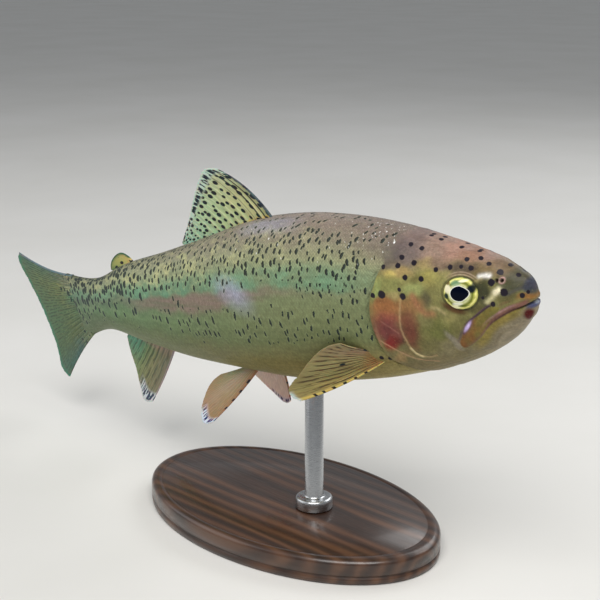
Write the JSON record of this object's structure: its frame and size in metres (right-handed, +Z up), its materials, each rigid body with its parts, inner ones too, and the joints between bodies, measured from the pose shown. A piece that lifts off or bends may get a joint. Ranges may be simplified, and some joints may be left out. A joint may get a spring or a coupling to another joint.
{
  "type": "rainbow trout display model",
  "caption": "Life-size rainbow trout, swimming with its tail flexed, held over a plain oval plinth by a short steel rod.",
  "frame": {"origin": "centre of the underside of the oval plinth", "axes": "+X towards the head along the fish's length, +Y to the fish's left, +Z up"},
  "size_m": [0.3729, 0.106, 0.1734],
  "materials": {
    "body_skin": "wet satin, scaled, dark spots",
    "head_skin": "smooth wet satin",
    "cheek_skin": "smooth wet satin, red blush",
    "jaw_skin": "smooth wet satin",
    "spotted_fin": "thin rayed web, dark spots",
    "lower_fin": "thin rayed web",
    "eye": "clear and glossy",
    "plinth_wood": "satin dark stain",
    "rod_steel": "brushed"
  },
  "bodies": {
    "root": {"head": "head_skin", "lower_jaw": "jaw_skin", "maxilla_right": "jaw_skin", "maxilla_left": "jaw_skin", "gill_cover_right": "cheek_skin", "gill_cover_left": "cheek_skin", "eye_right": "eye", "eye_left": "eye", "trunk_front": "body_skin", "trunk_rear": "body_skin", "tail_stalk": "body_skin", "dorsal_fin": "spotted_fin", "adipose_fin": "lower_fin", "caudal_fin": "spotted_fin", "anal_fin": "lower_fin", "pectoral_fin_right": "lower_fin", "pectoral_fin_left": "lower_fin", "pelvic_fin_right": "lower_fin", "pelvic_fin_left": "lower_fin", "stand_base": "plinth_wood", "stand_rod": "rod_steel"}
  },
  "joints": []
}
